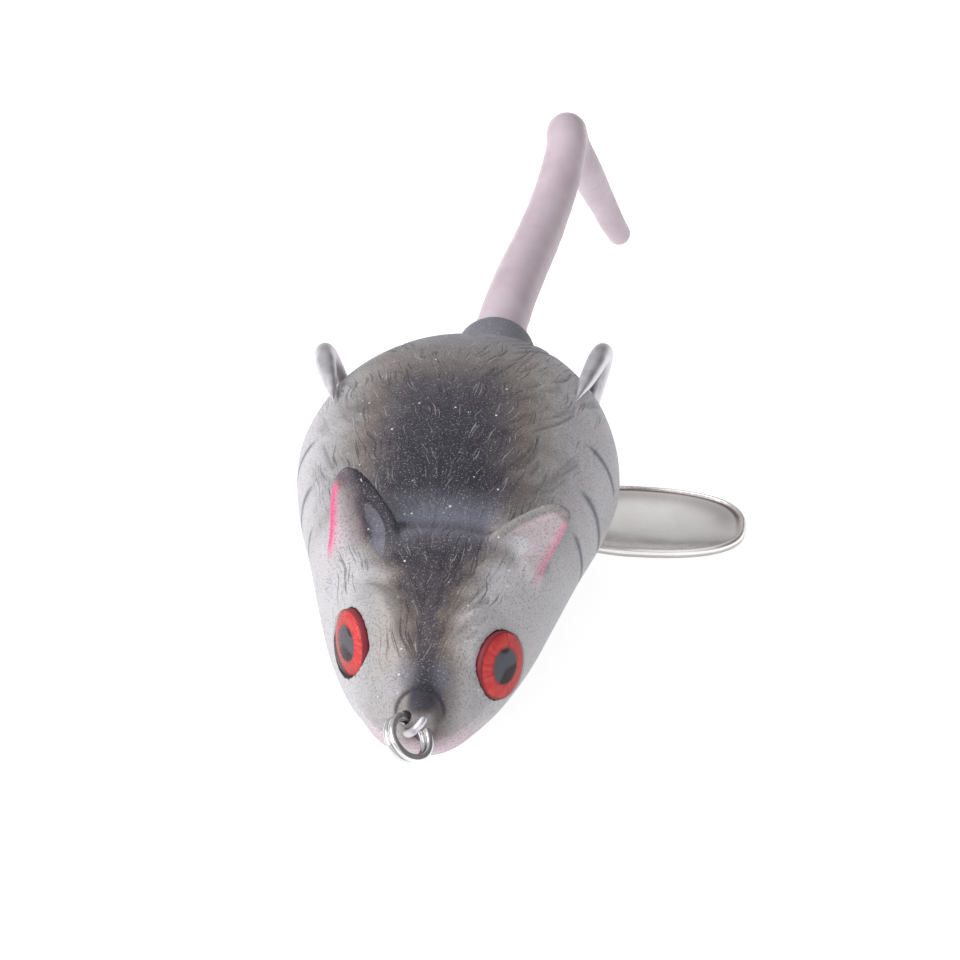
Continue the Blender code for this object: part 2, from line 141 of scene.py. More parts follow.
def blend_table(rows, place):
    """Smooth values of a table at a place along its rows, counted in rows."""
    low = min(int(place), len(rows) - 2)
    t = place - low
    before, a, b, after = (rows[max(0, min(len(rows) - 1, low + k))] for k in (-1, 0, 1, 2))
    out = []
    for p, q, r, s in zip(before, a, b, after):
        start = (r - p) / 2 if (r - q) * (r - p) > 0 else 0.0
        end = (s - q) / 2 if (r - q) * (s - q) > 0 else 0.0
        value = (2 * t**3 - 3 * t**2 + 1) * q + (t**3 - 2 * t**2 + t) * start
        out.append(value + (3 * t**2 - 2 * t**3) * r + (t**3 - t**2) * end)
    return out


def smooth_path(rows, per_row):
    """Catmull-Rom samples of a path whose rows are x, y, z and a radius."""
    out = []
    for low in range(len(rows) - 1):
        before, a, b, after = (rows[max(0, min(len(rows) - 1, low + k))] for k in (-1, 0, 1, 2))
        for step in range(per_row):
            t = step / per_row
            sample = []
            for p, q, r, s in zip(before, a, b, after):
                curve = (2 * p - 5 * q + 4 * r - s) * t**2 + (3 * q - p - 3 * r + s) * t**3
                sample.append(0.5 * (2 * q + (r - p) * t + curve))
            out.append(tuple(sample))
    out.append(tuple(rows[-1]))
    return out


def rings_to_faces(count, around):
    """Faces of a lofted body whose two ends are closed by fans to the points after the rings."""
    faces = []
    for ring in range(count - 1):
        low = ring * around
        for side in range(around):
            after = (side + 1) % around
            faces.append((low + side, low + after, low + around + after, low + around + side))
    first = count * around
    last = (count - 1) * around
    for side in range(around):
        after = (side + 1) % around
        faces.append((first, after, side))
        faces.append((first + 1, last + side, last + after))
    return faces


def turns(count):
    """The angles of equal steps round a circle."""
    return [2 * math.pi * step / count for step in range(count)]


def signed_power(value, power):
    return math.copysign(abs(value) ** power, value)


def squircle_ring(row, around):
    y, centre, half, top, bottom = row
    middle = bottom + (top - bottom) * WIDEST_HEIGHT
    points = []
    for angle in turns(around):
        across = signed_power(math.cos(angle), 2 / ROUNDNESS)
        up = signed_power(math.sin(angle), 2 / ROUNDNESS)
        height = top - middle if up > 0 else middle - bottom
        points.append((centre + half * across, y, middle + height * up))
    return points


def loft(name, table, per_row, around):
    rows = [blend_table(table, k / per_row) for k in range((len(table) - 1) * per_row + 1)]
    points = [p for row in rows for p in squircle_ring(row, around)]
    for row in (rows[0], rows[-1]):
        points.append((row[1], row[0], row[4] + (row[3] - row[4]) * WIDEST_HEIGHT))
    return mesh_object(name, points, rings_to_faces(len(rows), around))


def frame_along(axis):
    """A rotation whose z axis is the given one."""
    ahead = Vector(axis).normalized()
    side = Vector((0.0, 0.0, 1.0)).cross(ahead)
    side = side.normalized() if side.length > 1e-6 else Vector((1.0, 0.0, 0.0))
    return Matrix((side, ahead.cross(side), ahead)).transposed()


def placed(points, centre, axis):
    turn = frame_along(axis)
    return [turn @ Vector(p) + Vector(centre) for p in points]


def tube(name, path, around, look=None):
    """A closed round tube along x, y, z, radius samples."""
    centres = [Vector(p[:3]) for p in path]
    points = []
    normal = None
    for index, centre in enumerate(centres):
        ahead = centres[min(index + 1, len(centres) - 1)] - centres[max(index - 1, 0)]
        ahead.normalize()
        if normal is None:
            normal = ahead.cross(Vector((0.3, 0.1, 1.0))).normalized()
        normal = (normal - ahead * normal.dot(ahead)).normalized()
        other = ahead.cross(normal)
        for angle in turns(around):
            points.append(centre + path[index][3] * (normal * math.cos(angle) + other * math.sin(angle)))
    points += [centres[0], centres[-1]]
    return mesh_object(name, points, rings_to_faces(len(path), around), look)


def lathe(name, outline, centre, axis, around, look=None):
    """A turned body from (radius, height) points that start and end on the axis."""
    rings = outline[1:-1]
    points = []
    for radius, height in rings:
        for angle in turns(around):
            points.append((radius * math.cos(angle), radius * math.sin(angle), height))
    points += [(0, 0, outline[0][1]), (0, 0, outline[-1][1])]
    return mesh_object(name, placed(points, centre, axis), rings_to_faces(len(rings), around), look)


def plug(name, radius, low, high, centre, axis, around):
    """A plain cylinder, to cut a hole with."""
    return lathe(name, [(0, low), (radius, low), (radius, high), (0, high)], centre, axis, around)


def lathe_loop(name, outline, centre, axis, around, look=None):
    """A turned body from a closed outline that stays off the axis."""
    points = []
    for angle in turns(around):
        for radius, height in outline:
            points.append((radius * math.cos(angle), radius * math.sin(angle), height))
    count = len(outline)
    faces = []
    for side in range(around):
        after = (side + 1) % around
        for k in range(count):
            j = (k + 1) % count
            faces.append((side * count + k, side * count + j, after * count + j, after * count + k))
    return mesh_object(name, placed(points, centre, axis), faces, look)


def torus_outline(radius, wire, sides):
    return [(radius + wire * math.cos(a), wire * math.sin(a)) for a in turns(sides)]


def apply_all(obj):
    """The evaluated mesh becomes the object's own, and its modifiers go."""
    graph = bpy.context.evaluated_depsgraph_get()
    mesh = bpy.data.meshes.new_from_object(obj.evaluated_get(graph), depsgraph=graph)
    obj.modifiers.clear()
    obj.data = mesh


def boolean(obj, cutters, operation):
    for cutter in cutters:
        made = obj.modifiers.new(cutter.name, "BOOLEAN")
        made.operation = operation
        made.solver = "EXACT"
        made.object = cutter
    apply_all(obj)
    for cutter in cutters:
        bpy.data.objects.remove(cutter)


# ---------------------------------------------------------------- materials


def fill_ramp(ramp, stops):
    while len(ramp.elements) < len(stops):
        ramp.elements.new(0.5)
    for element, (at, colour) in zip(ramp.elements, stops):
        element.position = at
        element.color = (*colour, 1.0)


class Look:
    """A node material whose Principled shader is built up input by input."""

    def __init__(self, name):
        self.material = bpy.data.materials.new(name)
        self.material.use_nodes = True
        self.nodes = self.material.node_tree.nodes
        self.links = self.material.node_tree.links
        self.shader = self.nodes["Principled BSDF"]
        self.place = self.nodes.new("ShaderNodeTexCoord").outputs["Object"]

    def set(self, **values):
        for name, value in values.items():
            self.feed(self.shader.inputs[name.replace("_", " ").title().replace("Ior", "IOR")], value)

    def node(self, kind, inputs=(), **settings):
        """A new node: settings first, then a value or a link for each input by name or number."""
        made = self.nodes.new("ShaderNode" + kind)
        for name, value in settings.items():
            setattr(made, name, value)
        for name, value in dict(inputs).items():
            self.feed(made.inputs[name], value)
        return made

    def feed(self, socket, value):
        if isinstance(value, bpy.types.NodeSocket):
            self.links.new(value, socket)
        else:
            socket.default_value = value

    def math(self, operation, a, b=0.0):
        return self.node("Math", {0: a, 1: b}, operation=operation).outputs[0]

    def attribute(self, name, output="Fac"):
        return self.node("Attribute", attribute_name=name).outputs[output]

    def scaled(self, vector, scale):
        return self.node("VectorMath", {0: vector, 1: scale}, operation="MULTIPLY").outputs[0]

    def noise(self, scale, detail, vector=None):
        inputs = {"Scale": scale, "Detail": detail, "Vector": vector or self.place}
        return self.node("TexNoise", inputs).outputs["Fac"]

    def spots(self, scale):
        return self.node("TexVoronoi", {"Scale": scale, "Vector": self.place})

    def ramp(self, value, *stops):
        made = self.node("ValToRGB")
        fill_ramp(made.color_ramp, stops)
        self.feed(made.inputs[0], value)
        return made.outputs["Color"]

    def levels(self, value, low, high, to_low=0.0, to_high=1.0):
        inputs = {"Value": value, "From Min": low, "From Max": high, "To Min": to_low, "To Max": to_high}
        return self.node("MapRange", inputs, clamp=True, interpolation_type="SMOOTHSTEP").outputs["Result"]

    def mix(self, share, a, b, how="MIX"):
        a, b = (v if isinstance(v, bpy.types.NodeSocket) else (*v, 1.0) for v in (a, b))
        return self.node("Mix", {"Factor": share, 6: a, 7: b}, data_type="RGBA", blend_type=how).outputs[2]

    def cover(self, colour, mask, share, paint):
        """Paint over a colour, as much as a mask times a share."""
        return self.mix(self.math("MULTIPLY", mask, share), colour, paint)

    def bump(self, height, distance, strength):
        return self.node("Bump", {"Strength": strength, "Distance": distance, "Height": height}).outputs[0]


def skin_look():
    """Airbrushed paint, charcoal back over pearl grey, with painted sheen, shade and light in places, from the masks
    that paint_masks() stores.
    """
    look = Look("airbrushed_skin")
    mottle = look.noise(900.0, 4.0)
    uneven = look.math("MULTIPLY", look.math("SUBTRACT", mottle, 0.5), 0.16)
    tone = look.math("ADD", look.attribute("tone"), uneven)
    colour = look.ramp(
        tone,
        (0.0, (0.020, 0.020, 0.032)),
        (0.2, (0.072, 0.064, 0.080)),
        (0.4, (0.155, 0.135, 0.132)),
        (0.6, (0.255, 0.238, 0.238)),
        (0.8, (0.375, 0.362, 0.372)),
        (1.0, (0.520, 0.508, 0.530)),
    )
    colour = look.mix(look.attribute("warm"), colour, (1.07, 1.0, 0.93), "MULTIPLY")
    for mask, paint in (
        # Blue-grey: painted sheen over the trough and ridge between the ears, painted shade beside the stripe above
        # the nose, and a bluish tint on the rear back.
        ("blue_tint_sheen_and_shade", (0.17, 0.18, 0.235)),
        ("stripe", (0.075, 0.08, 0.12)),
        ("blush", (0.66, 0.47, 0.54)),
        # Lighter blue-grey patch in the upright ear's cup: painted sheen in the hollow.
        ("pit", (0.15, 0.145, 0.18)),
        ("pink", (0.80, 0.12, 0.28)),
    ):
        colour = look.mix(look.attribute(mask), colour, paint)
    clump = look.levels(look.noise(170.0, 2.0), 0.40, 0.58)
    bend = look.math("MULTIPLY", look.noise(300.0, 1.0), 2.0)
    bent = look.node("CombineXYZ")
    look.links.new(bend, bent.inputs[0])
    waved = look.node("VectorMath", operation="ADD")
    look.links.new(look.attribute("fur", "Vector"), waved.inputs[0])
    look.links.new(bent.outputs[0], waved.inputs[1])
    waved = waved.outputs[0]
    furry = look.attribute("furry")
    dark_hair = look.levels(look.noise(1.0, 2.0, look.scaled(waved, (4.2, 0.22, 1.0))), 0.58, 0.63)
    dark_hair = look.math("MULTIPLY", dark_hair, look.math("MULTIPLY", furry, clump))
    # Pale streaks along the fur: painted highlights for the lit rims of fine engraved fur.
    hair_rim_highlight = look.levels(look.noise(1.0, 1.0, look.scaled(waved, (5.2, 0.34, 1.0))), 0.66, 0.70)
    hair_rim_highlight = look.math("MULTIPLY", hair_rim_highlight, furry)
    colour = look.cover(colour, dark_hair, 0.62, (0.04, 0.035, 0.04))
    colour = look.cover(colour, hair_rim_highlight, 0.38, (0.5, 0.48, 0.48))
    # Darker in the engraved grooves: dark paint together with painted shade in the grooves.
    colour = look.cover(colour, look.attribute("groove"), 0.40, (0.05, 0.045, 0.05))
    dusty = look.attribute("dusty")
    salt = look.levels(look.noise(7500.0, 2.0), 0.56, 0.74)
    colour = look.cover(colour, look.math("MULTIPLY", salt, dusty), 0.52, (0.52, 0.50, 0.50))
    pepper = look.levels(look.noise(6200.0, 2.0), 0.50, 0.66)
    colour = look.cover(colour, pepper, 0.38, (0.04, 0.037, 0.042))
    for scale, size, few in ((1500.0, 0.13, 0.80), (700.0, 0.07, 0.86)):
        specks = look.spots(scale)
        speck = look.levels(specks.outputs["Distance"], size, size + 0.05, 1.0, 0.0)
        rare = look.levels(specks.outputs["Color"], few, few + 0.02)
        colour = look.cover(colour, look.math("MULTIPLY", speck, rare), dusty, (0.68, 0.66, 0.66))
    pebble = look.noise(3800.0, 2.0)
    height = look.math("SUBTRACT", look.math("MULTIPLY", pebble, 0.5), dark_hair)
    look.set(
        base_color=colour,
        roughness=look.levels(mottle, 0.3, 0.7, 0.42, 0.56),
        specular_ior_level=0.25,
        normal=look.bump(height, 0.00009, 0.8),
    )
    return look.material


def metal_look(name, colour, rough):
    look = Look(name)
    wear = look.noise(700.0, 4.0)
    fine = look.noise(6000.0, 2.0)
    dark = tuple(c * 0.82 for c in colour)
    look.set(
        base_color=look.mix(look.levels(wear, 0.35, 0.7), dark, colour),
        metallic=1.0,
        roughness=look.levels(wear, 0.3, 0.75, rough, rough + 0.12),
        normal=look.bump(fine, 0.00002, 0.25),
    )
    return look.material


def blade_look():
    look = Look("polished_blade")
    wear = look.noise(300.0, 5.0)
    pits = look.noise(2200.0, 3.0)
    bright = look.mix(look.levels(wear, 0.3, 0.7), (0.90, 0.87, 0.86), (0.98, 0.96, 0.95))
    look.set(
        base_color=look.mix(look.attribute("shade"), bright, (0.20, 0.16, 0.165)),
        metallic=1.0,
        roughness=look.levels(wear, 0.3, 0.7, 0.16, 0.30),
        normal=look.bump(pits, 0.00003, 0.5),
    )
    return look.material


def tail_look():
    look = Look("soft_tail")
    cloud = look.noise(260.0, 4.0)
    grain = look.noise(1500.0, 3.0)
    colour = look.mix(look.levels(cloud, 0.3, 0.7), (0.46, 0.37, 0.425), (0.53, 0.45, 0.495))
    look.set(
        base_color=colour,
        roughness=look.levels(grain, 0.3, 0.7, 0.38, 0.52),
        subsurface_weight=0.35,
        subsurface_radius=(0.9, 0.55, 0.6),
        subsurface_scale=0.003,
        coat_weight=0.15,
        coat_roughness=0.3,
        normal=look.bump(grain, 0.00006, 0.5),
    )
    return look.material


def foil_look():
    """A printed iris: red foil with fine rays, a pupil painted with a reflection in it, and a dark edge line."""
    look = Look("eye_foil_print")
    split = look.node("SeparateXYZ")
    look.links.new(look.place, split.inputs[0])
    across, up = split.outputs[:2]
    square = look.math("ADD", look.math("POWER", across, 2.0), look.math("POWER", up, 2.0))
    radius = look.math("MULTIPLY", look.math("SQRT", square), 1 / MM)
    angle = look.math("ARCTAN2", up, across)
    ring = look.node("CombineXYZ")
    look.links.new(look.math("MULTIPLY", angle, 7.0), ring.inputs[0])
    look.links.new(look.math("MULTIPLY", radius, 0.9), ring.inputs[1])
    rays = look.noise(1.0, 3.0, ring.outputs[0])
    colour = look.mix(look.levels(rays, 0.3, 0.72), (0.66, 0.035, 0.045), (0.86, 0.10, 0.09))
    inner = look.levels(radius, 1.55, 1.95, 1.0, 0.0)
    colour = look.cover(colour, inner, 0.5, (0.22, 0.03, 0.04))
    # The pupil is painted as it looks with the dome's reflection in it: bluish grey, crossed by dark reflected
    # streaks.
    reflection_streaks = look.levels(look.noise(330.0, 1.0), 0.44, 0.52)
    pupil = look.mix(reflection_streaks, (0.10, 0.115, 0.14), (0.025, 0.02, 0.025))
    colour = look.mix(look.levels(radius, 1.50, 1.66, 1.0, 0.0), colour, pupil)
    colour = look.mix(look.levels(radius, 2.72, 2.95), colour, (0.22, 0.03, 0.04))
    look.set(
        base_color=colour,
        metallic=0.0,
        roughness=look.levels(rays, 0.3, 0.7, 0.35, 0.5),
        specular_ior_level=0.2,
    )
    return look.material


def dome_look():
    look = Look("clear_dome")
    edge = look.node("LayerWeight").outputs["Facing"]
    flow = look.noise(400.0, 2.0)
    # The clear resin gets a dark tint that shows more towards the dome's edge: a painted dark rim on the clear dome.
    look.set(
        base_color=(0.06, 0.02, 0.02, 1.0),
        roughness=look.levels(flow, 0.3, 0.7, 0.02, 0.05),
        alpha=look.levels(edge, 0.3, 0.98, 0.05, 0.35),
    )
    return look.material


def lead_look():
    look = Look("cast_lead")
    cloud = look.noise(500.0, 5.0)
    look.set(
        base_color=look.mix(look.levels(cloud, 0.3, 0.7), (0.16, 0.16, 0.17), (0.30, 0.30, 0.32)),
        metallic=0.7,
        roughness=look.levels(cloud, 0.3, 0.7, 0.45, 0.65),
        normal=look.bump(cloud, 0.0001, 0.6),
    )
    return look.material


# ---------------------------------------------------------------- skin


# Each ear: its outline rows are height, inner edge and outer edge; its cup is middle, height, half sizes and depth.
EARS = {
    "right": {
        "base": (-6.3, -13.9, 15.3),
        "up": (-0.18, 0.2, 0.96),
        "facing": (-0.15, -0.97, 0.15),
        "outward": -1,
        "rows": (
            (-2.6, -3.6, 3.6),
            (0.0, -3.7, 3.25),
            (2.8, -3.65, 2.55),
            (4.6, -2.85, 2.1),
            (5.6, -2.4, 1.8),
            (6.5, -1.9, 1.4),
            (7.2, -1.35, 0.95),
            (7.6, -0.85, 0.5),
            (7.8, -0.3, 0.05),
        ),
        "cup": (-1.65, 2.45, 0.75, 2.0, 1.2),
    },
    "left": {
        "base": (7.7, -14.4, 14.1),
        "up": (0.63, 0.2, 0.75),
        "facing": (0.05, -0.97, 0.22),
        "outward": 1,
        "rows": (
            (-2.6, -4.2, 2.6),
            (-0.2, -4.3, 2.05),
            (1.6, -3.9, 1.65),
            (3.3, -3.35, 1.35),
            (5.2, -2.5, 0.95),
            (6.2, -1.9, 0.65),
            (6.7, -1.3, 0.4),
            (6.95, -0.6, 0.1),
        ),
        "cup": (-1.75, 1.3, 1.0, 1.3, 0.6),
    },
}


def ear_frame(shape):
    """Base, way up, way out to the side and way forward of an ear, as arrays."""
    up = Vector(shape["up"]).normalized()
    front = Vector(shape["facing"])
    front = (front - up * front.dot(up)).normalized()
    side = up.cross(front) * shape["outward"]
    return [np.array(v) for v in (shape["base"], up, side, front)]


def columns(rows, place):
    """Every column but the first, read between the rows at a place in the first."""
    table = np.array(rows)
    return [np.interp(place, table[:, 0], column) for column in table.T[1:]]


def ear_edges(shape, rise):
    """Inner and outer edge of the ear at a height."""
    return columns(shape["rows"], rise)


def ear(name, shape):
    """A petal with a thick rim, hollowed near its inner side, whose front swells into the forehead below."""
    base, up, side, front_way = ear_frame(shape)
    rows = 44
    across = 41
    low, high = shape["rows"][0][0], shape["rows"][-1][0]
    cup_u, cup_w, cup_wide, cup_tall, cup_deep = shape["cup"]
    sheets = ([], [])
    for row in range(rows):
        rise = low + (high - low) * math.sin(math.pi / 2 * row / (rows - 1))
        inner, outer = ear_edges(shape, rise)
        for col in range(across):
            share = 0.5 - 0.5 * math.cos(math.pi * col / (across - 1))
            u = inner + (outer - inner) * share
            edge = 4 * share * (1 - share)
            off = (u - cup_u - 0.27 * (rise - cup_w)) / cup_wide
            hollow = cup_deep * math.exp(-(off**4) - ((rise - cup_w) / cup_tall) ** 4)
            hollow += 0.35 * edge * math.exp(-(((rise - 3.6) / 2.0) ** 2))
            swell = 0.25 * max(0.0, 2.8 - rise) ** 1.3 - 0.25 * (1 - edge) ** 3
            thick = 0.9 + 0.8 * edge * max(0.0, 1 - max(0.0, rise) / high) + 0.25 * max(0.0, -rise)
            spot = base + up * rise + side * u
            sheets[0].append(spot + front_way * (swell - min(hollow, thick - 0.5)))
            sheets[1].append(spot - front_way * (thick - 0.3 * (1 - edge) ** 3))
    points = sheets[0] + sheets[1]
    total = rows * across
    faces = []
    for row in range(rows - 1):
        for col in range(across - 1):
            k = row * across + col
            faces.append((k, k + 1, k + across + 1, k + across))
            faces.append((total + k, total + k + across, total + k + across + 1, total + k + 1))
    rim = list(range(across))
    rim += [row * across + across - 1 for row in range(1, rows)]
    rim += [(rows - 1) * across + col for col in range(across - 2, -1, -1)]
    rim += [row * across for row in range(rows - 2, 0, -1)]
    for k, spot in enumerate(rim):
        after = rim[(k + 1) % len(rim)]
        faces.append((spot, total + spot, total + after, after))
    return mesh_object(name, points, faces)


def ear_place(points, shape):
    """Height, place outward from the ear's middle, place forward, and how far a point belongs to the ear."""
    base, up, side, front = ear_frame(shape)
    away = points - base
    rise, out, ahead = away @ up, away @ side, away @ front
    inner, outer = ear_edges(shape, rise)
    beside = np.maximum(inner - out, out - outer)
    belongs = smooth_step(0.7, 0.25, beside) * smooth_step(-2.6, -2.0, ahead) * smooth_step(2.6, 1.8, ahead)
    return rise, out, ahead, belongs * (rise < shape["rows"][-1][0] + 0.6)


def skin_rows(y):
    """Centre, half width and widest height of the skin at each y, in mm."""
    centre, half, top, bottom = columns(SKIN, y)
    return centre, half, bottom + (top - bottom) * WIDEST_HEIGHT


def smooth_step(low, high, value):
    t = np.clip((value - low) / (high - low), 0.0, 1.0)
    return t * t * (3 - 2 * t)


def bell(value, centre, width):
    return np.exp(-(((value - centre) / width) ** 2))


def relax(mesh, points, weight, rounds):
    """Moves points towards the middle of their neighbours, by weight."""
    count = len(mesh.vertices)
    ends = np.empty(len(mesh.edges) * 2, np.int32)
    mesh.edges.foreach_get("vertices", ends)
    a, b = ends[0::2], ends[1::2]
    degree = np.bincount(ends, minlength=count).clip(1)
    for _ in range(rounds):
        total = np.stack(
            [np.bincount(a, points[b, k], count) + np.bincount(b, points[a, k], count) for k in range(3)],
            axis=1,
        )
        points += (total / degree[:, None] - points) * weight[:, None]
    return points


def read_points(mesh):
    flat = np.empty(len(mesh.vertices) * 3, np.float32)
    mesh.vertices.foreach_get("co", flat)
    return flat.reshape(-1, 3).astype(float) / MM


def write_points(mesh, points):
    mesh.vertices.foreach_set("co", (points * MM).astype(np.float32).ravel())
    mesh.update()


def read_normals(mesh):
    flat = np.empty(len(mesh.vertices) * 3, np.float32)
    mesh.vertex_normals.foreach_get("vector", flat)
    return flat.reshape(-1, 3).astype(float)


def fur_strokes():
    """Engraved strokes: side, first y, angle from the top, length, lean outward per mm, width, depth."""
    draw = random.Random(7)
    groups = (
        (62, (-9.0, 15.0), (0.36, 0.95), (2.2, 7.5), (0.035, 0.07), (0.15, 0.20), (0.06, 0.15)),
        (34, (-25.0, -16.5), (0.05, 0.62), (1.2, 4.0), (0.03, 0.09), (0.14, 0.18), (0.07, 0.15)),
    )
    strokes = []
    for count, *ranges in groups:
        for _ in range(count):
            start, angle, length, lean, width, depth = (draw.uniform(*limits) for limits in ranges)
            side = draw.choice((-1, 1, 1)) if start < -16 else draw.choice((-1, 1))
            angle *= 0.45 if start < -16 and side < 0 else 1.0
            for twin in range(draw.choice((1, 1, 2, 3))):
                first, reach = start + 0.4 * twin, length * (1 - 0.15 * twin)
                strokes.append((side, first, angle + 0.045 * twin, reach, lean, width, depth))
    return strokes


def engrave(points, angle, reach):
    """Depth of the engraved strokes at each point, laid out by y and the angle from the top."""
    depth = np.zeros(len(points))
    y = points[:, 1]
    for side, start, first, length, lean, width, deep in fur_strokes():
        near = np.nonzero((y > start - 1) & (y < start + length + 1) & (np.sign(angle) == side))[0]
        along = (y[near] - start) / length
        target = first + lean * (y[near] - start) * (1.25 - 0.5 * along) + 0.02 * np.sin(4.0 * along + first * 9)
        off = (np.abs(angle[near]) - target) * reach[near]
        taper = smooth_step(0.0, 0.2, along) * smooth_step(1.0, 0.65, along)
        depth[near] = np.maximum(depth[near], deep * taper * np.exp(-((off / width) ** 2)))
    return depth


# Stripes down each flank: y at the bottom, lowest z, highest z, lean forward toward the top, half width.
STRIPES = ((-6.0, 6.4, 14.0, 0.9, 0.30), (-1.7, 7.0, 16.3, 1.3, 0.34), (3.0, 10.8, 18.0, 0.9, 0.30))


def flank_stripes(y, z, x):
    mask = np.zeros(len(y))
    for start, low, top, lean, width in STRIPES:
        share = np.clip((z - low) / (top - low), 0, 1)
        line = start - lean * share**2
        ends = smooth_step(0.0, 0.25, share) * smooth_step(1.0, 0.8, share)
        mask = np.maximum(mask, ends * np.exp(-(((y - line) / (width * (0.5 + 0.5 * ends))) ** 2)))
    return mask * smooth_step(7.5, 9.5, np.abs(x))


def store(mesh, name, values):
    kind = "FLOAT" if values.ndim == 1 else "FLOAT_VECTOR"
    field = "value" if values.ndim == 1 else "vector"
    attribute = mesh.attributes.new(name, kind, "POINT")
    attribute.data.foreach_set(field, values.astype(np.float32).ravel())


# Paint along the back, with painted light and shade at the rear: y, middle x, edge of the dark middle, edge of the
# pale sides, darkness of the middle.
AIRBRUSH_AND_PAINTED_LIGHT = (
    (-31.0, 0.7, 0.3, 3.6, 0.30),
    (-28.5, 0.8, 0.45, 3.6, 0.00),
    (-27.0, 0.8, 0.35, 3.9, 0.10),
    (-25.0, 0.6, 0.4, 4.4, 0.20),
    (-22.0, 0.4, 0.8, 5.0, 0.22),
    (-20.0, 0.0, 1.3, 5.4, 0.16),
    (-18.0, 0.1, 1.9, 6.0, 0.13),
    (-16.0, 0.1, 2.9, 7.0, 0.06),
    (-14.0, 0.4, 3.9, 8.8, 0.26),
    (-11.0, 0.3, 3.4, 10.6, 0.20),
    (-8.5, 0.1, 3.5, 12.5, 0.03),
    (-4.0, 0.0, 3.1, 13.5, 0.04),
    (1.0, 0.0, 3.0, 13.5, 0.08),
    (5.0, -0.2, 3.4, 13.5, 0.20),
    (9.0, -0.4, 3.8, 13.0, 0.44),
    # From y 13 to 24 the dark middle sits towards -x, where the key light comes from: painted shade on the lit side
    # and painted light on the shaded side of the rear.
    (13.0, -2.6, 5.6, 16.0, 0.58),
    (18.0, -5.0, 6.5, 17.0, 0.56),
    (24.0, -3.5, 5.0, 14.5, 0.58),
    (27.0, 0.6, 3.4, 9.0, 0.46),
    (31.0, 1.25, 3.6, 9.0, 0.40),
)


def retone(masks, tone, share):
    masks["tone"] = masks["tone"] * (1 - share) + tone * share


def deepen(masks, name, values):
    masks[name] = np.maximum(masks[name], values)


def paint_ear(points, normals, shape, masks):
    """The upright ear runs from a pink edge through brown to a dark rim; the leaning one is pale pink in grey."""
    rise, out, _, belongs = ear_place(points, shape)
    inner, outer = ear_edges(shape, rise)
    top = shape["rows"][-1][0]
    facing = normals @ ear_frame(shape)[3]
    front = facing > 0.05
    cup_u, cup_w, cup_wide, cup_tall, _ = shape["cup"]
    pit = ((out - cup_u - 0.27 * (rise - cup_w)) / cup_wide) ** 2 + ((rise - cup_w) / cup_tall) ** 2
    line = np.exp(-(((out - outer + 0.25) / 0.45) ** 2)) * smooth_step(-0.6, 1.4, rise)
    if shape["outward"] < 0:
        start = smooth_step(-0.2, 1.8, rise)
        place = out + 0.5 * np.maximum(0.0, 1.8 - rise)
        tone = np.interp(place, (-1.2, -0.6, 0.2, 1.0, 1.7), (0.10, 0.24, 0.50, 0.8, 1.0))
        tone = tone * (1 - 0.66 * smooth_step(5.6, 7.0, rise))
        # The upright ear's cup gets a lighter blue-grey patch: painted sheen in the hollow.
        pit = smooth_step(1.1, 0.85, pit * (1 + 0.25 * (rise - cup_w) / cup_tall))
        rear = 0.12
        line = line * smooth_step(top - 0.9, top - 1.8, rise)
        flush = 0.35 * smooth_step(0.5, 1.6, out) + 0.16 * bell(out, 0.1, 0.8)
    else:
        start = smooth_step(0.2, 1.6, rise)
        rim = smooth_step(inner + 1.05, inner + 0.7, out) * smooth_step(0.2, 2.0, rise)
        rim = np.maximum(rim, smooth_step(top - 1.2, top - 0.7, rise))
        tone = 0.78 - 0.2 * rim + 0.2 * smooth_step(1.3, 0.7, pit)
        flush = 0.24 * (1 - rim) * smooth_step(0.8, 1.5, pit)
        flush = flush + 0.25 * np.exp(-(((out - inner - 1.25) / 0.22) ** 2)) * smooth_step(1.5, 3.0, rise)
        pit = 0.0 * pit
        rear = 0.5
        line = 0.42 * line * smooth_step(top - 0.6, top - 1.4, rise)
    share = belongs * np.where(front, start, 0.0)
    retone(masks, tone, share)
    retone(masks, rear, belongs * np.where(front, 0.0, smooth_step(1.6, 2.6, rise)))
    deepen(masks, "pink", line * belongs * (facing > -0.55))
    deepen(masks, "blush", flush * share)
    deepen(masks, "pit", pit * np.where(front, belongs, 0.0))
    for name in ("furry", "blue_tint_sheen_and_shade"):
        masks[name] = masks[name] * (1 - belongs * start)


